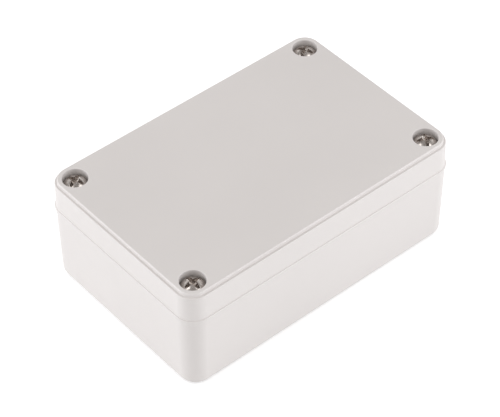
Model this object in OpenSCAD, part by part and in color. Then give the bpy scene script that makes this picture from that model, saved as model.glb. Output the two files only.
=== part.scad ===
// Sealed plastic project box: a moulded base and a lid, held by four lid screws.
// Millimetres. The origin is at the middle of the underside, +X along the box, +Z up.

/* [Outer form] */
// Length over the side walls, at the parting line
box_l = 97.2; // [84:0.1:140]
// Width over the side walls, at the parting line
box_w = 63.5; // [54:0.1:100]
// Height of the base, up to the parting line
base_h = 25.6; // [20:0.1:60]
// Height of the lid, above the parting line
lid_h = 10.4; // [9:0.1:20]
// Radius of the upright corners, at the parting line
corner_r = 5.6; // [4:0.1:8]
// How far each side of the base leans in towards the bottom
base_draft = 0.3; // [0.1:0.05:0.8]
// How far each side of the lid leans in towards the top
lid_draft = 0.1; // [0.05:0.05:0.5]
// Radius of the base's bottom edge
foot_r = 1.8; // [0.6:0.1:2.4]

/* [Walls] */
// Thickness of the side walls, at the parting line
wall_t = 3; // [2.8:0.1:4]
// Thickness of the base's floor
floor_t = 3; // [2:0.1:5]
// Thickness of the lid's top
top_t = 3; // [2:0.1:4]
// Radius of the corners of the sealed space
cavity_r = 3; // [2.2:0.1:4]

/* [Lid's edges] */
// How far the lip at the lid's lower edge stands out from the sides
lip_out = 0.4; // [0.2:0.05:0.8]
// Height of the lip's upright band
lip_h = 0.85; // [0.3:0.05:1.5]
// Height of the slope that runs from the lip into the side
lip_slope = 0.45; // [0.3:0.05:2]
// Height of the step round the lid's top
step_h = 1.5; // [0.8:0.1:2]
// Width of the ledge outside the step
step_w = 0.7; // [0.2:0.1:0.8]
// Radius of the edge of the raised top
top_edge_r = 0.35; // [0.1:0.05:0.8]
// Radius of the ledge's outer edge
ledge_edge_r = 0.6; // [0.2:0.05:0.8]

/* [Seal] */
// Width of the tongue that stands on the base's rim
tongue_w = 1.2; // [1:0.1:1.6]
// Height of the tongue above the parting line
tongue_h = 2.2; // [1.2:0.1:3]
// Gap between the tongue and each side of the lid's groove
tongue_gap = 0.4; // [0.2:0.05:0.5]
// Thickness of the gasket, as the tongue presses it
gasket_t = 1.8; // [1:0.1:2.4]
// Gap between the gasket and each side of the lid's groove
gasket_gap = 0.1; // [0.05:0.05:0.2]
// Thickness of the rib that guides the lid inside the base
rib_t = 1.4; // [1:0.1:2]
// How far that rib reaches below the parting line
rib_drop = 1.2; // [0.4:0.1:2.5]

/* [Lid screws] */
// Distance from the box's sides to a lid screw's axis
screw_inset = 5.85; // [5.4:0.05:7]
// Diameter of the screw's thread
screw_d = 3.5; // [3:0.1:4]
// Length of the screw below its head
screw_l = 12; // [10:0.5:14]
// Diameter of the screw's head
head_d = 7; // [6.4:0.1:7.2]
// Height of the screw's head
head_h = 2.6; // [2:0.1:3]
// Height of the upright edge of the head
head_edge = 1; // [0.5:0.1:1.5]
// How far the head's crown lies below the lid's top
head_sink = 0.4; // [0.2:0.1:0.8]
// Gap between the head and its counterbore
head_gap = 0.25; // [0.2:0.05:0.6]
// Gap between the screw and its hole in the lid
shank_gap = 0.4; // [0.2:0.05:0.6]
// Span of the cross recess
recess_span = 5; // [3:0.1:5.4]
// Width of each slot of the cross recess
recess_w = 1.15; // [0.7:0.05:1.4]
// Depth of the cross recess
recess_depth = 1.8; // [1:0.1:2]
// Radius of the plastic post round each screw hole
post_r = 4.7; // [4:0.1:5]

/* [Threaded inserts] */
// Outer diameter of an insert
insert_d = 5.6; // [5:0.1:6.2]
// Length of an insert
insert_l = 6; // [4:0.5:8]
// Depth of an insert's top below the parting line
insert_sink = 0.2; // [0.1:0.1:1]
// Gap between the screw's thread and the insert's bore
thread_gap = 0.05; // [0.02:0.01:0.09]
// Width of the groove round an insert
groove_w = 1.4; // [0.6:0.1:2]
// Depth of the groove round an insert
groove_d = 0.4; // [0.2:0.1:0.6]
// Depth of the blind hole below an insert, for the screw's tip
tip_room = 8; // [3:0.5:12]

/* [Wall fixing] */
// Diameter of the wells that lead down to the wall fixing holes
well_d = 7.8; // [7:0.1:8.5]
// Diameter of the wall fixing holes
fixing_d = 4.2; // [3:0.1:5]
// Plastic between a well and the outside of the box, at the parting line
well_wall = 2.7; // [2.2:0.05:4]
// Plastic between a well and the insert beside it
well_web = 2.2; // [1.6:0.1:4]
// Plastic between a well and the sealed space
cell_t = 1.8; // [1.7:0.1:3]

/* [Circuit board] */
// Distance from the corner cells to the board posts, along the box
board_inset_x = 6.3; // [4.5:0.1:12]
// Distance from the long walls to the board posts
board_inset_y = 7.75; // [5.5:0.05:12]
// Diameter of a board post
board_post_d = 6; // [5:0.1:8]
// Height of a board post above the floor
board_post_h = 5; // [3:0.5:10]
// Diameter of the pilot hole in a board post
pilot_d = 2.4; // [1.8:0.1:3]
// Depth of the pilot hole
pilot_depth = 6; // [4:0.5:7]
// Width of the slots that hold an upright board
slot_w = 1.8; // [1.4:0.1:2.4]
// Thickness of the two ribs beside each slot
guide_t = 1.2; // [0.8:0.1:2]
// How far the ribs stand out from the long walls
guide_out = 1.5; // [0.8:0.1:2.5]
// Height of the ribs above the floor
guide_h = 17; // [10:0.5:20]
// Distance between the slots, along the box
slot_pitch = 13; // [8:0.5:30]

/* [Hidden] */

$fn = 64;
skin_fn = 32;
arc_steps = 6;
cut = 1; // how far a cutter runs past the face that it opens

box_h = base_h + lid_h;
ledge_z = box_h - step_h;
cavity_x = box_l/2 - wall_t;
cavity_y = box_w/2 - wall_t;

screw_x = box_l/2 - screw_inset;
screw_y = box_w/2 - screw_inset;
head_seat_z = box_h - head_sink - head_h;
shank_hole_d = screw_d + 2*shank_gap;
head_hole_d = head_d + 2*head_gap;
insert_top_z = base_h - insert_sink;
insert_seat_z = insert_top_z - insert_l;
tip_hole_d = screw_d + 2*shank_gap;
tip_floor_z = max(insert_seat_z - tip_room, floor_t);

fixing_x = box_l/2 - well_wall - well_d/2;
fixing_y = screw_y - insert_d/2 - well_web - well_d/2;
cell_x = fixing_x - well_d/2 - cell_t;
cell_y = fixing_y - well_d/2 - cell_t;

groove_out = tongue_w + tongue_gap;
groove_h = tongue_h + gasket_t;
skirt_t = wall_t - groove_out;

board_x = cell_x - board_inset_x;
board_y = cavity_y - board_inset_y;

plastic = [0.83, 0.82, 0.80];
rubber = [0.16, 0.16, 0.17];
brass = [0.80, 0.64, 0.32];
steel = [0.78, 0.78, 0.78];

// Points of an outline with square corners, [x, y, radius] each, with every corner rounded
function unit(v) = v / norm(v);
function flat(p) = [p.x, p.y];
function rounded(corners) = [
    for (i = [0 : len(corners) - 1])
        let (
            n = len(corners),
            here = flat(corners[i]),
            back = unit(flat(corners[(i + n - 1) % n]) - here),
            ahead = unit(flat(corners[(i + 1) % n]) - here),
            r = corners[i][2],
            centre = here + r*(back + ahead)
        )
        for (k = [0 : arc_steps])
            centre - r*(cos(90*k/arc_steps)*ahead + sin(90*k/arc_steps)*back)
];

// Outline of the sealed space, which the corner cells cut into; grow moves it outwards
module seal_outline(grow) {
    outer = cavity_r + grow;
    inner = cavity_r - grow;
    x1 = cell_x + grow;
    x2 = cavity_x + grow;
    y1 = cell_y + grow;
    y2 = cavity_y + grow;
    polygon(rounded([
        [x2, -y1, outer], [x2, y1, outer], [x1, y1, inner], [x1, y2, outer],
        [-x1, y2, outer], [-x1, y1, inner], [-x2, y1, outer], [-x2, -y1, outer],
        [-x1, -y1, inner], [-x1, -y2, outer], [x1, -y2, outer], [x1, -y1, inner]
    ]));
}

// A wall that follows the sealed space, between two distances from its edge
module seal_ring(from, to, height) {
    linear_extrude(height)
        difference() {
            seal_outline(to);
            seal_outline(from);
        }
}

// Arc of a profile, round a centre, from one angle to another
function arc(centre, r, from, to, steps) = [
    for (k = [0 : steps])
        let (a = from + (to - from)*k/steps)
        centre + r*[cos(a), sin(a)]
];

// Outer skin of a shell: one profile, [distance from the corner's axis, height], taken
// round the box's four corners
module skin(profile) {
    hull()
        for (x = [-1, 1], y = [-1, 1])
            translate([x*(box_l/2 - corner_r), y*(box_w/2 - corner_r), 0])
                rotate_extrude($fn = skin_fn)
                    polygon(concat([[0, profile[0].y]], profile, [[0, profile[len(profile) - 1].y]]));
}

module at_corners(x, y) {
    for (i = [-1, 1], j = [-1, 1])
        translate([i*x, j*y, 0])
            children();
}

// Plug of round section between two heights
module plug(d, low, high) {
    translate([0, 0, low])
        cylinder(d = d, h = high - low);
}

// ---- base ----

module base_skin() {
    foot = corner_r - base_draft - foot_r;
    skin(concat(
        arc([foot, foot_r], foot_r, -90, 0, 4),
        [[corner_r, base_h]]
    ));
}

module board_posts() {
    at_corners(board_x, board_y)
        plug(board_post_d, floor_t - cut, floor_t + board_post_h);
}

// Pairs of upright ribs on the long walls, with a slot between the ribs of each pair
module board_guides() {
    room = cell_x - cavity_r - slot_w/2 - guide_t;
    count = floor(room/slot_pitch - 0.5);
    for (side = [-1, 1], i = [-count - 0.5 : count + 0.5], edge = [-1, 1])
        translate([
            i*slot_pitch + edge*(slot_w + guide_t)/2,
            side*(cavity_y + (cut - guide_out)/2),
            floor_t + (guide_h - cut)/2
        ])
            cube([guide_t, guide_out + cut, guide_h + cut], center = true);
}

module base_holes() {
    at_corners(fixing_x, fixing_y) {
        plug(well_d, floor_t, base_h + cut);
        plug(fixing_d, -cut, floor_t + cut);
    }
    at_corners(screw_x, screw_y) {
        plug(insert_d, insert_seat_z, base_h + cut);
        plug(tip_hole_d, tip_floor_z, insert_seat_z + cut);
    }
    at_corners(board_x, board_y)
        plug(pilot_d, floor_t + board_post_h - pilot_depth, floor_t + board_post_h + cut);
}

module base() {
    color(plastic)
        difference() {
            union() {
                difference() {
                    base_skin();
                    translate([0, 0, floor_t])
                        linear_extrude(base_h)
                            seal_outline(0);
                }
                translate([0, 0, base_h - cut])
                    seal_ring(0, tongue_w, cut + tongue_h);
                board_posts();
                board_guides();
            }
            base_holes();
        }
}

// ---- lid ----

module lid_skin() {
    side = corner_r - lid_draft;
    top = side - step_w;
    skin(concat(
        [[corner_r, base_h]],
        arc([side - ledge_edge_r, ledge_z - ledge_edge_r], ledge_edge_r, 0, 90, 5)
    ));
    skin([
        [corner_r + lip_out, base_h],
        [corner_r + lip_out, base_h + lip_h],
        [corner_r, base_h + lip_h + lip_slope]
    ]);
    skin(concat(
        [[top, ledge_z - ledge_edge_r]],
        arc([top - top_edge_r, box_h - top_edge_r], top_edge_r, 0, 90, 4)
    ));
}

// Hollow of a lid corner, beside the screw's post, above the well of the base
module lid_pocket() {
    x1 = cell_x + wall_t;
    x2 = cavity_x;
    y1 = cell_y + wall_t;
    y2 = screw_y - post_r;
    r = cavity_r - groove_out;
    for (i = [-1, 1], j = [-1, 1])
        mirror([i < 0 ? 1 : 0, 0, 0])
            mirror([0, j < 0 ? 1 : 0, 0])
                translate([0, 0, base_h - cut])
                    linear_extrude(box_h - top_t - base_h + cut)
                        polygon(rounded([[x1, y1, r], [x2, y1, r], [x2, y2, r], [x1, y2, r]]));
}

module lid() {
    rib_in = -tongue_gap - rib_t;
    rib_foot = base_h - rib_drop;
    color(plastic)
        difference() {
            union() {
                lid_skin();
                translate([0, 0, rib_foot])
                    seal_ring(rib_in, -tongue_gap, rib_drop + cut);
            }
            translate([0, 0, rib_foot - cut])
                linear_extrude(box_h - top_t - rib_foot + cut)
                    seal_outline(rib_in);
            translate([0, 0, rib_foot - cut])
                seal_ring(-tongue_gap, groove_out, rib_drop + groove_h + cut);
            lid_pocket();
            at_corners(screw_x, screw_y) {
                plug(head_hole_d, head_seat_z, box_h + cut);
                plug(shank_hole_d, base_h - cut, box_h);
            }
        }
}

module gasket() {
    color(rubber)
        translate([0, 0, base_h + tongue_h])
            seal_ring(gasket_gap - tongue_gap, groove_out - gasket_gap, gasket_t);
}

// ---- fasteners ----

// Brass insert, with the groove that locks it in the plastic
module insert(i, j) {
    r = insert_d/2;
    bore = screw_d/2 + thread_gap;
    waist = r - groove_d;
    low = (insert_l - groove_w)/2;
    color(brass)
        translate([i*screw_x, j*screw_y, insert_seat_z])
            rotate_extrude()
                polygon([
                    [bore, 0], [r, 0], [r, low], [waist, low],
                    [waist, low + groove_w], [r, low + groove_w], [r, insert_l], [bore, insert_l]
                ]);
}

// One slot of the cross recess, narrower at its bottom
module recess_slot() {
    top = recess_span/2;
    foot = recess_w/2;
    rotate([90, 0, 0])
        translate([0, 0, -recess_w/2])
            linear_extrude(recess_w)
                polygon([
                    [-foot, head_h - recess_depth], [foot, head_h - recess_depth],
                    [top, head_h + cut], [-top, head_h + cut]
                ]);
}

// Pan head screw with a cross recess and a plain shank of the thread's diameter
module screw(i, j) {
    crown = head_h - head_edge;
    dome_r = (head_d*head_d/4 + crown*crown)/(2*crown);
    dome_a = asin(head_d/2/dome_r);
    tip = screw_d/5;
    color(steel)
        translate([i*screw_x, j*screw_y, head_seat_z])
            difference() {
                rotate_extrude()
                    polygon(concat(
                        [[0, -screw_l], [screw_d/2 - tip, -screw_l], [screw_d/2, tip - screw_l],
                         [screw_d/2, 0], [head_d/2, 0]],
                        arc([0, head_h - dome_r], dome_r, 90 - dome_a, 90, 10)
                    ));
                recess_slot();
                rotate([0, 0, 90])
                    recess_slot();
            }
}

base();
lid();
gasket();
insert(-1, -1);  // insert_front_left
insert(1, -1);  // insert_front_right
insert(-1, 1);  // insert_back_left
insert(1, 1);  // insert_back_right
screw(-1, -1);  // screw_front_left
screw(1, -1);  // screw_front_right
screw(-1, 1);  // screw_back_left
screw(1, 1);  // screw_back_right
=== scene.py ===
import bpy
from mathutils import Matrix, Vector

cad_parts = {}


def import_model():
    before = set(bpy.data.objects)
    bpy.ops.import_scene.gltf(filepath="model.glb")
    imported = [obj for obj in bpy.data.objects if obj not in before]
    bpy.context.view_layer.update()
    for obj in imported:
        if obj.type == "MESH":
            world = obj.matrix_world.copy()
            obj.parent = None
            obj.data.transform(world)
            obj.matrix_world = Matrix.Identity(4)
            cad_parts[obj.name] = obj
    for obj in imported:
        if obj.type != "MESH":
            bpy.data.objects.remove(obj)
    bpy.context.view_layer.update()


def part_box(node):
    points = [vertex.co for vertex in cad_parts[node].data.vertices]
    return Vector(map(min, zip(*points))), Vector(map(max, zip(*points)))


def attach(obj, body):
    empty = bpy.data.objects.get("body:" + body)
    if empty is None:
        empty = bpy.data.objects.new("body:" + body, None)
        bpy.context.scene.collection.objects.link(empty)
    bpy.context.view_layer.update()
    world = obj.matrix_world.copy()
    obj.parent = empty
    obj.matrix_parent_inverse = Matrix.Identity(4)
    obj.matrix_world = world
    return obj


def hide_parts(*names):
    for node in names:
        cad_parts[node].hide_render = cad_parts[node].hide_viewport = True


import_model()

# A sealed project box of light grey plastic: base, lid, gasket, four threaded inserts and four
# lid screws. Lengths are millimetres, and become metres as a mesh is made.

import math

import bmesh
import bpy
import numpy as np
from mathutils import Matrix, Vector
from mathutils.geometry import delaunay_2d_cdt

MM = 0.001
FULL_TURN = 2 * math.pi
CORNERS = {
    "front_left": (-1, -1),
    "front_right": (1, -1),
    "back_left": (-1, 1),
    "back_right": (1, 1),
}


def node_box(node):
    """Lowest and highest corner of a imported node, in millimetres."""
    low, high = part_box(node)
    return low / MM, high / MM


# ---- sizes ----

base_high = node_box("base")[1]
lid_low, lid_high = node_box("lid")
gasket_low, gasket_high = node_box("gasket")
insert_low, insert_high = node_box("insert_back_right")
screw_low, screw_high = node_box("screw_back_right")

HALF_L = base_high.x
HALF_W = base_high.y
TOP_Z = lid_high.z
TONGUE_H = 2.2
PARTING_Z = base_high.z - TONGUE_H
LIP_OUT = lid_high.x - HALF_L

# Walls of both mouldings. The drafts count at the foot of the base and at the ledge of the lid.
CORNER_R = 5.6
BASE_DRAFT = 0.3
LID_DRAFT = 0.1
FOOT_R = 1.8
WALL = 3.0
FLOOR = 3.0
LID_TOP = 3.0
LID_UNDER_Z = TOP_Z - LID_TOP
CAVITY_R = 3.0
CAVITY_DRAFT = 0.15
CAVITY_EDGE_R = 0.8

# Lip of the lid, the base's flare below it and the seam between them. Both walls lean out to
# WALL_OUT beyond the base's nominal side where they meet the lip and the flare.
WALL_OUT = 0.08
LIP_H = 0.85
LIP_EDGE_R = 0.2
LIP_FALL = 0.05
LIP_FOOT_R = 0.16
FLARE_OUT = 0.37
FLARE_H = 1.6
FLARE_CURVE = 1.4
FLARE_STEPS = 5
SEAM_R = 0.04

# Raised top of the lid and the ledge round it.
STEP_H = 1.3
STEP_W = 0.74
TOP_EDGE_R = 0.35
LEDGE_EDGE_R = 0.26
STEP_FOOT_R = 0.08
LEDGE_Z = TOP_Z - STEP_H

# Seal: the base's tongue, the lid's groove and guide rib, and the gasket in the groove.
TONGUE_W = 1.2
TONGUE_DRAFT = 0.08
TONGUE_EDGE_R = 0.25
TONGUE_FOOT = 0.5
TONGUE_GAP = 0.4
GROOVE_OUT = TONGUE_W + TONGUE_GAP
GROOVE_MOUTH_R = 0.15
GROOVE_DRAFT = 0.05
GASKET_GAP = 0.1
GASKET_FOOT_R = 0.3
GASKET_TOP_R = 0.15
RIB_W = 1.4
RIB_IN = -TONGUE_GAP - RIB_W
RIB_DRAFT = 0.1
RIB_EDGE_R = 0.3
RIB_FOOT_Z = lid_low.z

# Lid screws and their holes.
SCREW_X = (screw_low.x + screw_high.x) / 2
SCREW_Y = (screw_low.y + screw_high.y) / 2
HEAD_R = (screw_high.x - screw_low.x) / 2
HEAD_H = 2.6
HEAD_EDGE = 1.0
HEAD_RIM_R = 0.4
HEAD_UNDER_IN = 0.25
HEAD_UNDER_R = 0.12
SEAT_Z = screw_high.z - HEAD_H
HEAD_TOP_Z = screw_high.z
SHANK_R = 1.75
TIP_IN = 0.7
TIP_H = 0.45
THREAD_PITCH = 0.6
THREAD_DEPTH = 0.36
THREAD_FLANK = 1.25
THREAD_FROM_TIP = 0.3
THREAD_BELOW_HEAD = 0.5
SHANK_ROWS = 190
SCREW_STEPS = 72
RIM_STEPS = 5
DOME_STEPS = 14
COUNTERBORE_R = HEAD_R + 0.25
COUNTERBORE_EDGE_R = 0.2
COUNTERBORE_DRAFT = 0.02
SHANK_HOLE_R = SHANK_R + 0.4
SHANK_HOLE_EDGE_R = 0.2
SCREW_POST_R = 4.7
# Degrees about its axis at which each screw came to rest.
SCREW_TURNS = {"front_left": 2, "front_right": 63, "back_left": 22, "back_right": 28}

# Cross recess of a screw: height from the crown, span over two wings and width of a wing.
RECESS_LEVELS = (
    (-2.2, 1.1, 0.5), (-1.75, 2.4, 0.7), (-1.2, 4.6, 0.96), (0.0, 5.5, 1.16), (0.8, 6.1, 1.3),
)
WING_ROOT = 1.28
WING_SHOULDER = 0.82
WING_NOSE = 0.4
WING_NOSE_L = 0.12

# Hollows of the lid's corners: (inset, drop from the roof) of the round under the roof.
POCKET_DRAFT = 0.15
POCKET_ROOF = ((0.15, 0.4), (0.3, 0.1), (0.6, 0.0))

# Threaded inserts in the base's corner towers.
INSERT_R = (insert_high.x - insert_low.x) / 2
INSERT_BORE_R = SHANK_R + 0.05
INSERT_EDGE = 0.25
INSERT_LEAD = 1.5 * INSERT_EDGE
INSERT_MOUTH_R = 0.2
WAIST_H = 1.4
WAIST_IN = 0.4
WAIST_SLOPE = 0.1
KNURL_TEETH = 28
KNURL_DEPTH = 0.16
BORE_THREAD_DEPTH = 0.26
BORE_ROWS = 56
INSERT_STEPS = 4 * KNURL_TEETH
# A point this near to a radius counts as part of that wall when a thread or knurl is cut.
WALL_MARGIN = 0.02
SHANK_MARGIN = 0.01
TIP_ROOM = 8.0
TIP_FLOOR_Z = insert_low.z - TIP_ROOM

# Corner cells of the base, each with a well for a wall fixing screw.
WELL_R = 3.9
WELL_MOUTH_R = 0.3
WELL_DRAFT = 0.1
WELL_FOOT_R = 0.5
WELL_WALL = 2.7
WELL_WEB = 2.2
CELL_WALL = 1.8
FIXING_R = 2.1
FIXING_EDGE_R = 0.25
FIXING_X = HALF_L - WELL_WALL - WELL_R
FIXING_Y = SCREW_Y - INSERT_R - WELL_WEB - WELL_R
CELL_X = FIXING_X - WELL_R - CELL_WALL
CELL_Y = FIXING_Y - WELL_R - CELL_WALL
CAVITY_X = HALF_L - WALL
CAVITY_Y = HALF_W - WALL

# Posts and guides for a circuit board.
BOARD_X = CELL_X - 6.3
BOARD_Y = CAVITY_Y - 7.75
BOARD_POST_R = 3.0
BOARD_POST_Z = FLOOR + 5.0
BOARD_POST_FOOT_R = 0.4
BOARD_POST_DRAFT = 0.1
BOARD_POST_EDGE_R = 0.25
PILOT_R = 1.2
PILOT_MOUTH_R = 0.2
PILOT_TAPER = 0.05
PILOT_FLOOR_Z = BOARD_POST_Z - 6.0
GUIDE_T = 1.2
GUIDE_OUT = 1.5
GUIDE_ROOT = 1.0
GUIDE_H = 17.0
GUIDE_EDGE = 0.18
SLOT_W = 1.8
SLOT_PITCH = 13.0
SLOTS = 4

# Segments in a quarter of an outside corner, in a quarter of a seal corner and in a whole hole.
CORNER_STEPS = 18
SEAL_STEPS = 8
HOLE_STEPS = 56
# Millimetres within which two points are one.
SAME_POINT = 1e-7


# ---- outlines: lists of (x, y) points that run anticlockwise ----

def rounded(corners, steps):
    """Outline with square corners (x, y, radius), each turned into an arc."""
    points = []
    for i, (x, y, radius) in enumerate(corners):
        here = np.array((x, y))
        back = np.array(corners[i - 1][:2]) - here
        ahead = np.array(corners[(i + 1) % len(corners)][:2]) - here
        back = back / np.linalg.norm(back)
        ahead = ahead / np.linalg.norm(ahead)
        centre = here + radius * (back + ahead)
        for k in range(steps + 1):
            turn = math.pi / 2 * k / steps
            points.append(centre - radius * (math.cos(turn) * ahead + math.sin(turn) * back))
    return points


def case_outline(inset):
    """Outside of the box, moved in by a distance."""
    x, y, r = HALF_L - inset, HALF_W - inset, CORNER_R - inset
    return rounded([(x, -y, r), (x, y, r), (-x, y, r), (-x, -y, r)], CORNER_STEPS)


def seal_outline(grow):
    """Edge of the sealed space, which steps round the corner cells, moved outwards."""
    outer, inner = CAVITY_R + grow, CAVITY_R - grow
    x1, x2 = CELL_X + grow, CAVITY_X + grow
    y1, y2 = CELL_Y + grow, CAVITY_Y + grow
    return rounded([
        (x2, -y1, outer), (x2, y1, outer), (x1, y1, inner), (x1, y2, outer),
        (-x1, y2, outer), (-x1, y1, inner), (-x2, y1, outer), (-x2, -y1, outer),
        (-x1, -y1, inner), (-x1, -y2, outer), (x1, -y2, outer), (x1, -y1, inner),
    ], SEAL_STEPS)


def circle(x, y, radius, steps=HOLE_STEPS):
    return [
        (x + radius * math.cos(FULL_TURN * k / steps), y + radius * math.sin(FULL_TURN * k / steps))
        for k in range(steps)
    ]


def pocket_outline(i, j, inset):
    """Hollow of a lid corner beside the screw's post."""
    low_x, high_x = CELL_X + WALL + inset, CAVITY_X - inset
    low_y, high_y = CELL_Y + WALL + inset, SCREW_Y - SCREW_POST_R - inset
    radius = CAVITY_R - GROOVE_OUT - inset
    plain = rounded([
        (low_x, low_y, radius), (high_x, low_y, radius),
        (high_x, high_y, radius), (low_x, high_y, radius),
    ], SEAL_STEPS)
    return [(i * x, j * y) for x, y in plain]


def fillet(reach, low, radius, kind, steps):
    """Points (reach, z) of a quarter round that starts at (reach, low). kind names the way that
    the profile runs: up and then in, in and then up, and so on."""
    across, up, swap = {
        "up_in": (-1, 1, False), "in_up": (-1, 1, True),
        "up_out": (1, 1, False), "out_up": (1, 1, True),
        "down_in": (-1, -1, False), "in_down": (-1, -1, True),
        "down_out": (1, -1, False),
    }[kind]
    points = []
    for k in range(steps + 1):
        turn = math.pi / 2 * k / steps
        near, far = 1 - math.cos(turn), math.sin(turn)
        if swap:
            near, far = far, near
        points.append((reach + across * radius * near, low + up * radius * far))
    return points


# ---- meshes ----

class Moulding:
    """A closed mesh put together from level rings, the bands between them and flat faces."""

    def __init__(self):
        self.mesh = bmesh.new()

    def ring(self, outline, z):
        return [self.mesh.verts.new((x * MM, y * MM, z * MM)) for x, y in outline]

    def band(self, first, second):
        count = len(first)
        for k in range(count):
            after = (k + 1) % count
            self.mesh.faces.new((first[k], first[after], second[after], second[k]))

    def fan(self, rim, middle):
        """Faces from the edges of a ring to one point."""
        for k, vert in enumerate(rim):
            self.mesh.faces.new((vert, rim[(k + 1) % len(rim)], middle))

    def wall(self, outline, profile):
        """Bands up or down a profile of (argument of the outline, z). Gives both end rings."""
        rings = [self.ring(outline(reach), z) for reach, z in profile]
        for first, second in zip(rings, rings[1:]):
            self.band(first, second)
        return rings[0], rings[-1]

    def flat(self, rim, holes=()):
        """Level face inside a ring and outside the rings of its holes."""
        loops = [rim, *holes]
        verts = [vert for loop in loops for vert in loop]
        points = [Vector((vert.co.x, vert.co.y)) / MM for vert in verts]
        edges, start = [], 0
        for loop in loops:
            edges += [(start + k, start + (k + 1) % len(loop)) for k in range(len(loop))]
            start += len(loop)
        _, _, faces, origin, _, _ = delaunay_2d_cdt(points, edges, [], 0, SAME_POINT)
        outlines = [np.array([(vert.co.x / MM, vert.co.y / MM) for vert in loop]) for loop in loops]
        for face in faces:
            corners = [origin[k][0] for k in face]
            middle = np.mean([points[k] for k in corners], axis=0)
            inside = [holds(outline, middle) for outline in outlines]
            if inside[0] and not any(inside[1:]):
                self.mesh.faces.new([verts[k] for k in corners])

    def finish(self, name):
        """The mesh as an object, with its faces turned outwards."""
        bmesh.ops.recalc_face_normals(self.mesh, faces=self.mesh.faces)
        return mesh_object(name, self.mesh)


def holds(outline, point):
    """Whether a point lies inside a closed outline."""
    x, y = outline[:, 0], outline[:, 1]
    next_x, next_y = np.roll(x, -1), np.roll(y, -1)
    crosses = (y > point[1]) != (next_y > point[1])
    with np.errstate(divide="ignore", invalid="ignore"):
        at = x + (point[1] - y) * (next_x - x) / (next_y - y)
    return bool(np.count_nonzero(crosses & (point[0] < at)) % 2)


def mesh_object(name, source):
    """New object from a bmesh, which is freed."""
    mesh = bpy.data.meshes.new(name)
    source.to_mesh(mesh)
    source.free()
    obj = bpy.data.objects.new(name, mesh)
    bpy.context.scene.collection.objects.link(obj)
    return obj


def lathe(name, profile, x, y, steps):
    """Solid turned about an upright axis from a profile of (radius, z), which either starts and
    ends on the axis or runs all the way round."""
    turned = Moulding()
    rings = []
    for radius, z in profile:
        on_axis = radius < SAME_POINT
        rings.append(turned.ring([(x, y)] if on_axis else circle(x, y, radius, steps), z))
    if len(rings[0]) > 1:
        rings.append(rings[0])
    for low, high in zip(rings, rings[1:]):
        if len(low) == 1:
            turned.fan(high[::-1], low[0])
        elif len(high) == 1:
            turned.fan(low, high[0])
        else:
            turned.band(low, high)
    return turned.finish(name)


def applied(obj):
    """Turns an object's modifiers into its plain mesh."""
    depsgraph = bpy.context.evaluated_depsgraph_get()
    plain = bpy.data.meshes.new_from_object(obj.evaluated_get(depsgraph), depsgraph=depsgraph)
    obj.modifiers.clear()
    obj.data = plain


def combine(obj, other, operation):
    """Adds another closed solid to an object, or cuts it away, and deletes the other."""
    step = obj.modifiers.new(operation.lower(), "BOOLEAN")
    step.operation = operation
    step.solver = "EXACT"
    step.object = other
    applied(obj)
    bpy.data.objects.remove(other)


def smooth(obj, angle=32):
    """Smooth shading that keeps flat faces flat and edges sharper than the angle crisp."""
    obj.data.set_sharp_from_angle(angle=math.radians(angle))
    for face in obj.data.polygons:
        face.use_smooth = True
    weighted = obj.modifiers.new("weighted", "WEIGHTED_NORMAL")
    weighted.mode = "FACE_AREA"
    weighted.weight = 60
    weighted.keep_sharp = True
    applied(obj)


def dress(obj, material, body, slot, *nodes):
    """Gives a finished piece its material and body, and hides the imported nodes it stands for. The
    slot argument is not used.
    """
    obj.data.materials.clear()
    obj.data.materials.append(material)
    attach(obj, body)
    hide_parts(*nodes)


# ---- geometry node trees ----

class Tree:
    """A geometry node tree with named number inputs."""

    def __init__(self, name, inputs):
        self.tree = bpy.data.node_groups.new(name, "GeometryNodeTree")
        self.sockets = {}
        face = self.tree.interface
        face.new_socket("Geometry", in_out="INPUT", socket_type="NodeSocketGeometry")
        for label, value in inputs.items():
            kind = "NodeSocketInt" if isinstance(value, int) else "NodeSocketFloat"
            socket = face.new_socket(label, in_out="INPUT", socket_type=kind)
            socket.default_value = value
            self.sockets[label] = socket.identifier
        face.new_socket("Geometry", in_out="OUTPUT", socket_type="NodeSocketGeometry")
        self.source = self.tree.nodes.new("NodeGroupInput")

    def add(self, kind, *inputs, **settings):
        """New node with its first sockets linked in order."""
        node = self.tree.nodes.new(kind)
        for key, value in settings.items():
            setattr(node, key, value)
        for socket, value in enumerate(inputs):
            self.link(value, node.inputs[socket])
        return node

    def link(self, value, socket):
        """Joins a node's output, a named input of the tree or a plain number to a socket."""
        if isinstance(value, bpy.types.NodeSocket):
            self.tree.links.new(value, socket)
        elif isinstance(value, str):
            self.tree.links.new(self.source.outputs[value], socket)
        else:
            socket.default_value = value

    def math(self, operation, *values):
        return self.add("ShaderNodeMath", *values, operation=operation).outputs[0]

    def finish(self, geometry, material):
        """Ends the tree with plain geometry of one material."""
        real = self.add("GeometryNodeRealizeInstances", geometry).outputs[0]
        painted = self.add("GeometryNodeSetMaterial", real)
        painted.inputs["Material"].default_value = material
        target = self.tree.nodes.new("NodeGroupOutput")
        self.tree.links.new(painted.outputs[0], target.inputs[0])


def grow_with(obj, tree, **values):
    """Runs a tree on an object with its inputs set by name, and keeps the result as its mesh."""
    modifier = obj.modifiers.new("grown", "NODES")
    modifier.node_group = tree.tree
    for label, value in values.items():
        modifier[tree.sockets[label.replace("_", " ")]] = value
    applied(obj)


# ---- materials ----

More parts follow.
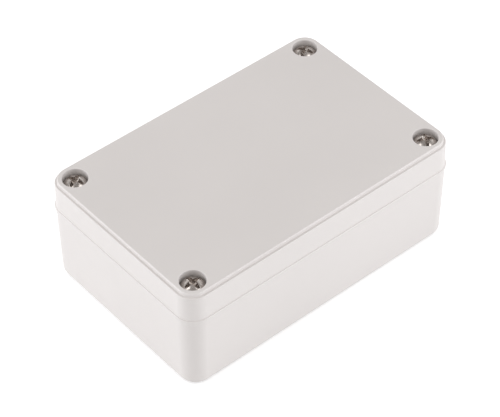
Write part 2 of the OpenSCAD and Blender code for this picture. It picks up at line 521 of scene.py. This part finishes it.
class Finish:
    """A procedural surface: one Principled shader and the nodes that feed it."""

    def __init__(self, name, colour, roughness, metallic=0.0, **sockets):
        self.material = bpy.data.materials.new(name)
        self.material.use_nodes = True
        self.nodes = self.material.node_tree.nodes
        self.links = self.material.node_tree.links
        self.shader = self.nodes["Principled BSDF"]
        self.shader.inputs["Base Color"].default_value = (*colour, 1)
        self.shader.inputs["Roughness"].default_value = roughness
        self.shader.inputs["Metallic"].default_value = metallic
        for label, value in sockets.items():
            self.shader.inputs[label.replace("_", " ")].default_value = value
        self.place = self.nodes.new("ShaderNodeTexCoord").outputs["Object"]

    def stretched(self, scale):
        """The place on the piece, with each axis scaled."""
        mapping = self.nodes.new("ShaderNodeMapping")
        mapping.inputs["Scale"].default_value = scale
        self.links.new(self.place, mapping.inputs["Vector"])
        return mapping.outputs[0]

    def noise(self, scale, detail, roughness, place=None):
        """Cloudy pattern. The scale counts its features over one metre."""
        node = self.nodes.new("ShaderNodeTexNoise")
        node.inputs["Scale"].default_value = scale
        node.inputs["Detail"].default_value = detail
        node.inputs["Roughness"].default_value = roughness
        self.links.new(place or self.place, node.inputs["Vector"])
        return node.outputs["Fac"]

    def colour_from(self, pattern, low, high, dark, light):
        """Base colour that runs from dark to light as a pattern runs from low to high."""
        node = self.nodes.new("ShaderNodeValToRGB")
        for element, place, colour in zip(node.color_ramp.elements, (low, high), (dark, light)):
            element.position = place
            element.color = (*colour, 1)
        self.links.new(pattern, node.inputs["Fac"])
        self.links.new(node.outputs["Color"], self.shader.inputs["Base Color"])

    def roughness_from(self, pattern, low, high, smoothest, roughest):
        """Roughness that follows a pattern in the same way."""
        node = self.nodes.new("ShaderNodeMapRange")
        limits = {"From Min": low, "From Max": high, "To Min": smoothest, "To Max": roughest}
        for label, number in limits.items():
            node.inputs[label].default_value = number
        self.links.new(pattern, node.inputs["Value"])
        self.links.new(node.outputs["Result"], self.shader.inputs["Roughness"])

    def relief(self, height, strength, distance, under=None):
        """Bumps of a pattern, so many metres high, over those of another relief."""
        node = self.nodes.new("ShaderNodeBump")
        node.inputs["Strength"].default_value = strength
        node.inputs["Distance"].default_value = distance
        self.links.new(height, node.inputs["Height"])
        if under is not None:
            self.links.new(under, node.inputs["Normal"])
        self.links.new(node.outputs["Normal"], self.shader.inputs["Normal"])
        return node.outputs["Normal"]


def shade(colour, factor):
    return tuple(channel * factor for channel in colour)


def case_plastic():
    """Light warm grey moulded plastic: satin, with a fine spark-eroded grain and faint flow."""
    grey = (0.678, 0.638, 0.617)
    finish = Finish("case_plastic", grey, 0.42, IOR=1.53)
    along = finish.stretched((1, 1.6, 1))
    flow = finish.noise(22.0, detail=2.0, roughness=0.45, place=along)
    finish.colour_from(flow, 0.3, 0.7, shade(grey, 0.985), shade(grey, 1.015))
    patches = finish.noise(260.0, detail=3.0, roughness=0.55)
    finish.roughness_from(patches, 0.25, 0.75, 0.37, 0.47)
    waves = finish.noise(38.0, detail=1.0, roughness=0.4)
    grain = finish.noise(3200.0, detail=2.0, roughness=0.6)
    finish.relief(grain, 0.10, 0.00003, under=finish.relief(waves, 0.10, 0.0006))
    return finish.material


def seal_rubber():
    """Dark grey closed-cell rubber with fine pores."""
    dark = (0.028, 0.028, 0.030)
    finish = Finish("seal_rubber", dark, 0.75)
    pores = finish.noise(1800.0, detail=4.0, roughness=0.6)
    finish.colour_from(pores, 0.35, 0.65, shade(dark, 0.7), shade(dark, 1.5))
    finish.roughness_from(pores, 0.3, 0.7, 0.65, 0.88)
    finish.relief(pores, 0.5, 0.00008)
    return finish.material


def insert_brass():
    """Turned brass, with fine tool lines and slight tarnish."""
    yellow = (0.72, 0.47, 0.16)
    finish = Finish("insert_brass", yellow, 0.28, metallic=1.0)
    tarnish = finish.noise(420.0, detail=4.0, roughness=0.6)
    finish.colour_from(tarnish, 0.3, 0.75, shade(yellow, 0.72), shade(yellow, 1.08))
    finish.roughness_from(tarnish, 0.3, 0.7, 0.2, 0.42)
    around = finish.stretched((0.2, 0.2, 9.0))
    lines = finish.noise(900.0, detail=2.0, roughness=0.5, place=around)
    finish.relief(lines, 0.25, 0.00002)
    return finish.material


def screw_steel():
    """Bright stainless steel, with the small marks that cold forming and a driver leave."""
    bright = (0.56, 0.515, 0.485)
    finish = Finish("screw_steel", bright, 0.18, metallic=1.0)
    marks = finish.noise(1400.0, detail=4.0, roughness=0.65)
    blotches = finish.noise(520.0, detail=2.0, roughness=0.5)
    finish.colour_from(blotches, 0.3, 0.7, shade(bright, 0.82), shade(bright, 1.06))
    finish.roughness_from(marks, 0.3, 0.7, 0.16, 0.32)
    finish.relief(marks, 0.22, 0.00004)
    return finish.material


plastic = case_plastic()
rubber = seal_rubber()
brass = insert_brass()
steel = screw_steel()


# ---- base ----

def guide_ribs():
    """Pairs of upright ribs along the long walls, each pair with a slot for a board's edge. They
    start GUIDE_ROOT deep in the wall and the floor."""
    tree = Tree("board_guides", {
        "Slots": SLOTS,
        "Slot pitch": SLOT_PITCH * MM,
        "Rib gap": (SLOT_W + GUIDE_T) * MM,
        "Rib thickness": GUIDE_T * MM,
        "Reach": (GUIDE_OUT + GUIDE_ROOT) * MM,
        "Height": (GUIDE_H + GUIDE_ROOT) * MM,
        "Wall distance": (CAVITY_Y + (GUIDE_ROOT - GUIDE_OUT) / 2) * MM,
        "Middle height": (FLOOR + (GUIDE_H - GUIDE_ROOT) / 2) * MM,
    })
    size = tree.add("ShaderNodeCombineXYZ", "Rib thickness", "Reach", "Height").outputs[0]
    rib = tree.add("GeometryNodeMeshCube", size).outputs["Mesh"]
    last = tree.math("SUBTRACT", "Slots", 1.0)
    length = tree.math("MULTIPLY", last, "Slot pitch")
    half = tree.math("MULTIPLY", length, -0.5)
    joined = tree.add("GeometryNodeJoinGeometry")
    for side in (-1.0, 1.0):
        for edge in (-0.5, 0.5):
            x = tree.math("ADD", half, tree.math("MULTIPLY", "Rib gap", edge))
            y = tree.math("MULTIPLY", "Wall distance", side)
            start = tree.add("ShaderNodeCombineXYZ", x, y, "Middle height").outputs[0]
            step = tree.add("ShaderNodeCombineXYZ", "Slot pitch").outputs[0]
            line = tree.add("GeometryNodeMeshLine")
            tree.link("Slots", line.inputs["Count"])
            tree.link(start, line.inputs["Start Location"])
            tree.link(step, line.inputs["Offset"])
            placed = tree.add("GeometryNodeInstanceOnPoints", line.outputs[0])
            tree.link(rib, placed.inputs["Instance"])
            tree.link(placed.outputs[0], joined.inputs[0])
    tree.finish(joined.outputs[0], plastic)
    ribs = mesh_object("guide_ribs", bmesh.new())
    grow_with(ribs, tree)
    bevel = ribs.modifiers.new("bevel", "BEVEL")
    bevel.width = GUIDE_EDGE * MM
    bevel.segments = 2
    applied(ribs)
    return ribs


def base_outside():
    """Profile of the base's side, from the underside up to the parting face."""
    profile = [(BASE_DRAFT + reach, z) for reach, z in fillet(FOOT_R, 0, FOOT_R, "in_up", 6)]
    for k in range(FLARE_STEPS):
        along = k / FLARE_STEPS
        out = WALL_OUT + (FLARE_OUT - WALL_OUT) * along ** FLARE_CURVE
        profile.append((-out, PARTING_Z - FLARE_H + (FLARE_H - SEAM_R) * along))
    return profile + fillet(-FLARE_OUT, PARTING_Z - SEAM_R, SEAM_R, "up_out", 3)


def base_inside():
    """Profile of the tongue and of the cavity's wall, down to the floor."""
    top = base_high.z
    profile = [(TONGUE_W, PARTING_Z)]
    profile += fillet(TONGUE_W - TONGUE_DRAFT, top - TONGUE_EDGE_R, TONGUE_EDGE_R, "up_in", 3)
    profile += fillet(TONGUE_DRAFT + TONGUE_EDGE_R, top, TONGUE_EDGE_R, "in_down", 3)
    profile += [(0.0, PARTING_Z - TONGUE_FOOT)]
    return profile + fillet(-CAVITY_DRAFT, FLOOR + CAVITY_EDGE_R, CAVITY_EDGE_R, "down_in", 4)


def fixing_well():
    """Profile of a corner well, from its mouth through the fixing hole in the floor."""
    profile = fillet(WELL_R + WELL_MOUTH_R, PARTING_Z, WELL_MOUTH_R, "in_down", 3)
    profile += fillet(WELL_R - WELL_DRAFT, FLOOR + WELL_FOOT_R, WELL_FOOT_R, "down_in", 3)
    profile += fillet(FIXING_R + FIXING_EDGE_R, FLOOR, FIXING_EDGE_R, "in_down", 3)
    return profile + fillet(FIXING_R, FIXING_EDGE_R, FIXING_EDGE_R, "down_out", 3)


def tower_hole():
    """Profile of the insert's seat, with room for the screw's tip below it."""
    profile = fillet(INSERT_R + INSERT_MOUTH_R, PARTING_Z, INSERT_MOUTH_R, "in_down", 3)
    profile += [(INSERT_R, insert_low.z), (SHANK_HOLE_R, insert_low.z)]
    return profile + [(SHANK_HOLE_R, TIP_FLOOR_Z)]


def board_post():
    """Profile of a board post, from the floor up and down its pilot hole."""
    side, edge = BOARD_POST_R - BOARD_POST_DRAFT, BOARD_POST_EDGE_R
    profile = fillet(BOARD_POST_R + BOARD_POST_FOOT_R, FLOOR, BOARD_POST_FOOT_R, "in_up", 3)
    profile += fillet(side, BOARD_POST_Z - edge, edge, "up_in", 3)
    profile += fillet(PILOT_R + PILOT_MOUTH_R, BOARD_POST_Z, PILOT_MOUTH_R, "in_down", 3)
    return profile + [(PILOT_R - PILOT_TAPER, PILOT_FLOOR_Z)]


def base_shell():
    base = Moulding()
    underside, land = base.wall(case_outline, base_outside())
    tongue_foot, floor_edge = base.wall(seal_outline, base_inside())
    land_holes, under_holes, post_feet = [tongue_foot], [], []
    for i, j in CORNERS.values():
        mouth, bottom = base.wall(lambda r: circle(i * FIXING_X, j * FIXING_Y, r), fixing_well())
        land_holes.append(mouth)
        under_holes.append(bottom)
        mouth, bottom = base.wall(lambda r: circle(i * SCREW_X, j * SCREW_Y, r), tower_hole())
        land_holes.append(mouth)
        base.flat(bottom)
        foot, bottom = base.wall(lambda r: circle(i * BOARD_X, j * BOARD_Y, r), board_post())
        post_feet.append(foot)
        base.flat(bottom)
    base.flat(land, land_holes)
    base.flat(underside, under_holes)
    base.flat(floor_edge, post_feet)
    shell = base.finish("base_shell")
    combine(shell, guide_ribs(), "UNION")
    smooth(shell)
    dress(shell, plastic, "base", "case_plastic", "base")


# ---- lid ----

def lid_outside():
    """Profile of the lid's side: the lip, the wall, the ledge and the raised top's edge."""
    top_in = LID_DRAFT + STEP_W
    lip_top = PARTING_Z + LIP_H
    profile = fillet(SEAM_R - LIP_OUT, PARTING_Z, SEAM_R, "in_up", 3)
    profile += fillet(-LIP_OUT, lip_top - LIP_FALL - LIP_EDGE_R, LIP_EDGE_R, "up_out", 4)
    profile += fillet(-WALL_OUT - LIP_FOOT_R, lip_top, LIP_FOOT_R, "out_up", 3)
    profile += fillet(LID_DRAFT, LEDGE_Z - LEDGE_EDGE_R, LEDGE_EDGE_R, "up_out", 6)
    profile += fillet(top_in - STEP_FOOT_R, LEDGE_Z, STEP_FOOT_R, "out_up", 2)
    return profile + fillet(top_in, TOP_Z - TOP_EDGE_R, TOP_EDGE_R, "up_out", 5)


def lid_inside():
    """Profile of the groove, of the guide rib inside it and of the wall up to the ceiling."""
    groove_z = gasket_high.z
    profile = fillet(GROOVE_OUT + GROOVE_MOUTH_R, PARTING_Z, GROOVE_MOUTH_R, "in_up", 2)
    profile += [(GROOVE_OUT - GROOVE_DRAFT, groove_z), (GROOVE_DRAFT - TONGUE_GAP, groove_z)]
    profile += [(-TONGUE_GAP, PARTING_Z)]
    outer, inner = -TONGUE_GAP - RIB_DRAFT, RIB_IN + RIB_DRAFT
    profile += fillet(outer, RIB_FOOT_Z + RIB_EDGE_R, RIB_EDGE_R, "down_in", 3)
    profile += fillet(inner + RIB_EDGE_R, RIB_FOOT_Z, RIB_EDGE_R, "in_up", 3)
    side, edge = RIB_IN - RIB_DRAFT, CAVITY_EDGE_R
    return profile + fillet(side, LID_UNDER_Z - edge, edge, "up_in", 4)


def screw_bore():
    """Profile of the counterbore and the shank's hole, from the top down."""
    side, edge = COUNTERBORE_R - COUNTERBORE_DRAFT, COUNTERBORE_EDGE_R
    profile = fillet(COUNTERBORE_R + edge, TOP_Z, edge, "in_down", 4)
    profile += fillet(side, SEAT_Z + edge, edge, "down_in", 2)
    profile += [(SHANK_HOLE_R, SEAT_Z)]
    edge = SHANK_HOLE_EDGE_R
    return profile + fillet(SHANK_HOLE_R, PARTING_Z + edge, edge, "down_out", 2)


def lid_shell():
    lid = Moulding()
    lip_edge, top_edge = lid.wall(case_outline, lid_outside())
    groove_edge, ceiling_edge = lid.wall(seal_outline, lid_inside())
    hollow = [(-POCKET_DRAFT, PARTING_Z), (0.0, PARTING_Z + POCKET_DRAFT)]
    hollow += [(inset, LID_UNDER_Z - drop) for inset, drop in POCKET_ROOF]
    top_holes, low_holes = [], [groove_edge]
    for i, j in CORNERS.values():
        top, bottom = lid.wall(lambda r: circle(i * SCREW_X, j * SCREW_Y, r), screw_bore())
        top_holes.append(top)
        low_holes.append(bottom)
        mouth, roof = lid.wall(lambda inset: pocket_outline(i, j, inset), hollow)
        low_holes.append(mouth)
        lid.flat(roof)
    lid.flat(top_edge, top_holes)
    lid.flat(lip_edge, low_holes)
    lid.flat(ceiling_edge)
    shell = lid.finish("lid_shell")
    smooth(shell)
    dress(shell, plastic, "lid", "case_plastic", "lid")


def gasket_strip():
    strip = Moulding()
    low, high = gasket_low.z, gasket_high.z
    foot, edge = GASKET_FOOT_R, GASKET_TOP_R
    outer, inner = GROOVE_OUT - GASKET_GAP, GASKET_GAP - TONGUE_GAP
    section = fillet(outer - foot, low, foot, "out_up", 4)
    section += fillet(outer, high - edge, edge, "up_in", 3)
    section += fillet(inner + edge, high, edge, "in_down", 3)
    section += fillet(inner, low + foot, foot, "down_out", 4)
    first, last = strip.wall(seal_outline, section)
    strip.band(last, first)
    piece = strip.finish("gasket_strip")
    smooth(piece, angle=45)
    dress(piece, rubber, "lid", "seal_rubber", "gasket")


# ---- inserts ----

def axis_frame(tree):
    """Place of each point about the piece's upright axis: x, y, z, radius and angle."""
    place = tree.add("ShaderNodeSeparateXYZ", tree.add("GeometryNodeInputPosition").outputs[0])
    x = tree.math("SUBTRACT", place.outputs[0], "Axis X")
    y = tree.math("SUBTRACT", place.outputs[1], "Axis Y")
    squares = tree.math("ADD", tree.math("MULTIPLY", x, x), tree.math("MULTIPLY", y, y))
    return x, y, place.outputs[2], tree.math("SQRT", squares), tree.math("ARCTAN2", y, x)


def zigzag(tree, turns):
    """0 at whole turns and 1 halfway between them."""
    return tree.math("MULTIPLY", tree.math("PINGPONG", turns, 0.5), 2.0)


def thread_ridge(tree, z, angle):
    """0 to 1 and back along a right-hand thread of the tree's pitch."""
    rows = tree.math("DIVIDE", z, "Pitch")
    return zigzag(tree, tree.math("SUBTRACT", rows, tree.math("DIVIDE", angle, FULL_TURN)))


def moved_out(tree, x, y, radius, shift):
    """Geometry with each point moved away from the axis by its own shift."""
    share = tree.math("DIVIDE", shift, radius)
    out_x = tree.math("MULTIPLY", x, share)
    out_y = tree.math("MULTIPLY", y, share)
    offset = tree.add("ShaderNodeCombineXYZ", out_x, out_y, 0.0)
    node = tree.add("GeometryNodeSetPosition", "Geometry")
    tree.link(offset.outputs[0], node.inputs["Offset"])
    return node.outputs[0]


def knurl_tree():
    """Straight knurls and an inner thread: moves the outer wall in and the bore's wall out."""
    tree = Tree("insert_knurls", {
        "Axis X": 0.0,
        "Axis Y": 0.0,
        "Outer radius": INSERT_R * MM,
        "Bore radius": INSERT_BORE_R * MM,
        "Teeth": KNURL_TEETH,
        "Tooth depth": KNURL_DEPTH * MM,
        "Pitch": THREAD_PITCH * MM,
        "Thread depth": BORE_THREAD_DEPTH * MM,
    })
    x, y, z, radius, angle = axis_frame(tree)
    margin = WALL_MARGIN * MM
    outer = tree.math("GREATER_THAN", radius, tree.math("SUBTRACT", "Outer radius", margin))
    bore = tree.math("LESS_THAN", radius, tree.math("ADD", "Bore radius", margin))
    teeth = tree.math("MULTIPLY", angle, tree.math("DIVIDE", "Teeth", FULL_TURN))
    tooth_in = tree.math("MULTIPLY", zigzag(tree, teeth), "Tooth depth")
    thread_out = tree.math("MULTIPLY", thread_ridge(tree, z, angle), "Thread depth")
    knurled = tree.math("MULTIPLY", outer, tooth_in)
    shift = tree.math("SUBTRACT", tree.math("MULTIPLY", bore, thread_out), knurled)
    tree.finish(moved_out(tree, x, y, radius, shift), brass)
    return tree


def column(radius, low, high, rows):
    """Straight wall of a profile in even rows, for a thread to be cut into."""
    return [(radius, low + (high - low) * k / rows) for k in range(rows + 1)]


def insert_piece(corner, tree):
    """One insert: two knurled bands with a waist between them, and a threaded bore."""
    i, j = CORNERS[corner]
    low, high, edge = insert_low.z, insert_high.z, INSERT_EDGE
    waist_low, waist_high = (low + high - WAIST_H) / 2, (low + high + WAIST_H) / 2
    waist_r = INSERT_R - WAIST_IN
    profile = [(INSERT_BORE_R + edge, low), (INSERT_R - edge, low)]
    profile += [(INSERT_R, low + edge), (INSERT_R, waist_low)]
    profile += [(waist_r, waist_low + WAIST_SLOPE), (waist_r, waist_high - WAIST_SLOPE)]
    profile += [(INSERT_R, waist_high), (INSERT_R, high - edge)]
    profile += [(INSERT_R - edge, high), (INSERT_BORE_R + INSERT_LEAD, high)]
    profile += column(INSERT_BORE_R, high - INSERT_LEAD, low + edge, BORE_ROWS)
    x, y = i * SCREW_X, j * SCREW_Y
    piece = lathe("brass_insert_" + corner, profile, x, y, INSERT_STEPS)
    grow_with(piece, tree, Axis_X=x * MM, Axis_Y=y * MM)
    smooth(piece, angle=40)
    dress(piece, brass, "base", "insert_brass", "insert_" + corner)


# ---- lid screws ----

def thread_tree():
    """Cuts a screw thread into the plain shank, fading out at the head and the tip."""
    tree = Tree("screw_thread", {
        "Axis X": 0.0,
        "Axis Y": 0.0,
        "Shank radius": SHANK_R * MM,
        "Pitch": THREAD_PITCH * MM,
        "Depth": THREAD_DEPTH * MM,
        "Thread start": (screw_low.z + THREAD_FROM_TIP) * MM,
        "Thread end": (SEAT_Z - THREAD_BELOW_HEAD) * MM,
    })
    x, y, z, radius, angle = axis_frame(tree)
    shank = tree.math("LESS_THAN", radius, tree.math("ADD", "Shank radius", SHANK_MARGIN * MM))
    valley = tree.math("MULTIPLY", thread_ridge(tree, z, angle), THREAD_FLANK)
    valley = tree.math("MINIMUM", valley, 1.0)
    rise = tree.math("DIVIDE", tree.math("SUBTRACT", z, "Thread start"), "Pitch")
    fall = tree.math("DIVIDE", tree.math("SUBTRACT", "Thread end", z), "Pitch")
    fade = tree.math("MINIMUM", tree.math("MINIMUM", rise, fall), 1.0)
    fade = tree.math("MAXIMUM", fade, 0.0)
    depth = tree.math("MULTIPLY", shank, "Depth")
    cut = tree.math("MULTIPLY", tree.math("MULTIPLY", valley, fade), depth)
    tree.finish(moved_out(tree, x, y, radius, tree.math("MULTIPLY", cut, -1.0)), steel)
    return tree


def recess_cutter(x, y, turn):
    """Tapered plug with four wings, which leaves a cross recess in a screw's head."""
    plug = Moulding()
    rings = []
    for height, span, width in RECESS_LEVELS:
        tip, half = span / 2, width / 2
        outline = []
        for wing in range(4):
            a = turn + math.pi / 2 * wing
            along = Vector((math.cos(a), math.sin(a)))
            across = Vector((-math.sin(a), math.cos(a)))
            nose = along * (tip + WING_NOSE_L)
            outline += [
                along * tip - across * half * WING_SHOULDER, nose - across * half * WING_NOSE,
                nose + across * half * WING_NOSE, along * tip + across * half * WING_SHOULDER,
                (along + across) * half * WING_ROOT,
            ]
        centre = Vector((x, y))
        rings.append(plug.ring([centre + point for point in outline], HEAD_TOP_Z + height))
    for low, high in zip(rings, rings[1:]):
        plug.band(low, high)
    plug.mesh.faces.new(rings[0][::-1])
    plug.mesh.faces.new(rings[-1])
    return plug.finish("recess_cutter")


def screw_profile():
    """Tip, shank, underside of the head, rounded rim and domed crown."""
    crown = HEAD_H - HEAD_EDGE
    dome_r = (HEAD_R ** 2 + crown ** 2) / (2 * crown)
    dome_z = HEAD_TOP_Z - dome_r
    spread = math.asin((HEAD_R - HEAD_RIM_R) / (dome_r - HEAD_RIM_R))
    rim_z = dome_z + (dome_r - HEAD_RIM_R) * math.cos(spread)
    profile = [(0.0, screw_low.z), (SHANK_R - TIP_IN, screw_low.z)]
    profile += column(SHANK_R, screw_low.z + TIP_H, SEAT_Z, SHANK_ROWS)
    profile += [(HEAD_R - HEAD_UNDER_IN, SEAT_Z)]
    profile += fillet(HEAD_R - HEAD_UNDER_R, SEAT_Z, HEAD_UNDER_R, "out_up", 2)
    for k in range(RIM_STEPS + 1):
        a = math.pi / 2 - (math.pi / 2 - spread) * k / RIM_STEPS
        radius = HEAD_R - HEAD_RIM_R + HEAD_RIM_R * math.sin(a)
        profile.append((radius, rim_z + HEAD_RIM_R * math.cos(a)))
    for k in range(1, DOME_STEPS + 1):
        a = spread * (1 - k / DOME_STEPS)
        profile.append((dome_r * math.sin(a), dome_z + dome_r * math.cos(a)))
    return profile


def screw_piece(corner, tree):
    i, j = CORNERS[corner]
    x, y = i * SCREW_X, j * SCREW_Y
    piece = lathe("lid_screw_" + corner, screw_profile(), x, y, SCREW_STEPS)
    cutter = recess_cutter(x, y, math.radians(SCREW_TURNS[corner]))
    combine(piece, cutter, "DIFFERENCE")
    grow_with(piece, tree, Axis_X=x * MM, Axis_Y=y * MM)
    smooth(piece, angle=38)
    dress(piece, steel, "screw_" + corner, "screw_steel", "screw_" + corner)


# ---- camera, studio and light ----

CAMERA_AZIMUTH = -40.038
CAMERA_ELEVATION = 44.363
CAMERA_DISTANCE = 594.48
CAMERA_ROLL = -0.582
CAMERA_AIM_Z = 19.5
LENS = 149.10
SENSOR = 36.0
LENS_SHIFT_X = -0.00476
LENS_SHIFT_Y = -0.01873
NEAR_METRES = 0.02
FAR_METRES = 20.0

LAMP_DISTANCE = 700.0
LAMP_AIM_Z = 20.0
AMBIENT = 0.71
COOL_WHITE = (0.96, 1.0, 1.05)
PLAIN_WHITE = (1.0, 1.0, 1.0)
# Name, azimuth, elevation, sides, watts and colour of each lamp: one low and long and one high
# and square on either hand.
LAMPS = (
    ("left_softbox", -122, 9, (500, 200), 2.22, COOL_WHITE),
    ("right_softbox", 32, 9, (500, 200), 1.95, COOL_WHITE),
    ("left_spot", -120, 58, (260, 260), 0.5, PLAIN_WHITE),
    ("right_spot", 40, 58, (260, 260), 0.5, PLAIN_WHITE),
)

FLOOR_DROP = 0.02
FLOOR_SIDE = 6000.0
FLOOR_GREY = (0.86, 0.86, 0.86)
FLOOR_GLOW = 0.33
CEILING_Z = 900.0
CEILING_SIDE = 2200.0
CEILING_GREY = (0.50, 0.48, 0.465)


def toward(azimuth, elevation):
    """Unit vector from the box towards a viewer. Azimuth 0 is in front, 90 on the right."""
    a, e = math.radians(azimuth), math.radians(elevation)
    return Vector((math.sin(a) * math.cos(e), -math.cos(a) * math.cos(e), math.sin(e)))


def aimed(name, data, azimuth, elevation, distance, aim_z):
    """New camera or lamp that looks back at a point on the box's upright axis."""
    obj = bpy.data.objects.new(name, data)
    bpy.context.scene.collection.objects.link(obj)
    back = toward(azimuth, elevation)
    place = Matrix.Translation(Vector((0, 0, aim_z * MM)) + back * distance * MM)
    obj.matrix_world = place @ back.to_track_quat("Z", "Y").to_matrix().to_4x4()
    return obj


def camera():
    data = bpy.data.cameras.new("camera")
    data.lens = LENS
    data.sensor_width = SENSOR
    data.shift_x = LENS_SHIFT_X
    data.shift_y = LENS_SHIFT_Y
    data.clip_start = NEAR_METRES
    data.clip_end = FAR_METRES
    obj = aimed("camera", data, CAMERA_AZIMUTH, CAMERA_ELEVATION, CAMERA_DISTANCE, CAMERA_AIM_Z)
    obj.matrix_world = obj.matrix_world @ Matrix.Rotation(math.radians(CAMERA_ROLL), 4, "Z")
    bpy.context.scene.camera = obj


def lamp(name, azimuth, elevation, sides, watts, colour):
    data = bpy.data.lights.new(name, "AREA")
    data.shape = "RECTANGLE"
    data.size, data.size_y = sides[0] * MM, sides[1] * MM
    data.energy = watts
    data.color = colour
    aimed(name, data, azimuth, elevation, LAMP_DISTANCE, LAMP_AIM_Z)


def seen_directly(nodes, links):
    """1 for rays from the camera, off gloss or through glass, and 0 for soft light."""
    path = nodes.new("ShaderNodeLightPath")
    total = path.outputs["Is Camera Ray"]
    for label in ("Is Glossy Ray", "Is Transmission Ray"):
        most = nodes.new("ShaderNodeMath")
        most.operation = "MAXIMUM"
        links.new(total, most.inputs[0])
        links.new(path.outputs[label], most.inputs[1])
        total = most.outputs[0]
    return total


def world():
    """White behind the box, and a plain soft light all round it."""
    made = bpy.data.worlds.new("studio")
    bpy.context.scene.world = made
    made.use_nodes = True
    nodes, links = made.node_tree.nodes, made.node_tree.links
    soft = nodes["Background"]
    soft.inputs["Color"].default_value = (*PLAIN_WHITE, 1)
    soft.inputs["Strength"].default_value = AMBIENT
    white = nodes.new("ShaderNodeBackground")
    white.inputs["Color"].default_value = (*PLAIN_WHITE, 1)
    white.inputs["Strength"].default_value = 1.0
    mix = nodes.new("ShaderNodeMixShader")
    links.new(seen_directly(nodes, links), mix.inputs[0])
    links.new(soft.outputs[0], mix.inputs[1])
    links.new(white.outputs[0], mix.inputs[2])
    links.new(mix.outputs[0], nodes["World Output"].inputs["Surface"])


def level_square(name, side, z, order):
    """Level square sheet. Order 1 faces it up, and -1 faces it down."""
    half = side / 2
    corners = ((-half, -half), (half, -half), (half, half), (-half, half))
    sheet = Moulding()
    sheet.mesh.faces.new(sheet.ring(corners, z)[::order])
    return mesh_object(name, sheet.mesh)


def floor():
    """Pale floor that takes the box's shadow and glows a little, to meet the white behind it."""
    plane = level_square("floor", FLOOR_SIDE, -FLOOR_DROP, 1)
    paper = bpy.data.materials.new("floor_paper")
    paper.use_nodes = True
    nodes, links = paper.node_tree.nodes, paper.node_tree.links
    diffuse = nodes.new("ShaderNodeBsdfDiffuse")
    diffuse.inputs["Color"].default_value = (*FLOOR_GREY, 1)
    white = nodes.new("ShaderNodeEmission")
    white.inputs["Strength"].default_value = FLOOR_GLOW
    both = nodes.new("ShaderNodeAddShader")
    links.new(diffuse.outputs[0], both.inputs[0])
    links.new(white.outputs[0], both.inputs[1])
    glow = nodes.new("ShaderNodeMixShader")
    links.new(seen_directly(nodes, links), glow.inputs[0])
    links.new(diffuse.outputs[0], glow.inputs[1])
    links.new(both.outputs[0], glow.inputs[2])
    links.new(glow.outputs[0], nodes["Material Output"].inputs["Surface"])
    plane.data.materials.append(paper)


def ceiling():
    """Grey ceiling, which shows in bright metal and gloss, and which soft light passes."""
    panel = level_square("ceiling", CEILING_SIDE, CEILING_Z, -1)
    paint = bpy.data.materials.new("ceiling_paint")
    paint.use_nodes = True
    shader = paint.node_tree.nodes["Principled BSDF"]
    shader.inputs["Base Color"].default_value = (*CEILING_GREY, 1)
    shader.inputs["Roughness"].default_value = 1.0
    panel.data.materials.append(paint)
    for ray in ("camera", "diffuse", "transmission", "volume_scatter", "shadow"):
        setattr(panel, "visible_" + ray, False)


camera()
world()
floor()
for row in LAMPS:
    lamp(*row)
ceiling()

base_shell()
lid_shell()
gasket_strip()
knurls = knurl_tree()
threads = thread_tree()
for corner in CORNERS:
    insert_piece(corner, knurls)
    screw_piece(corner, threads)

bpy.context.scene.view_settings.view_transform = "Standard"
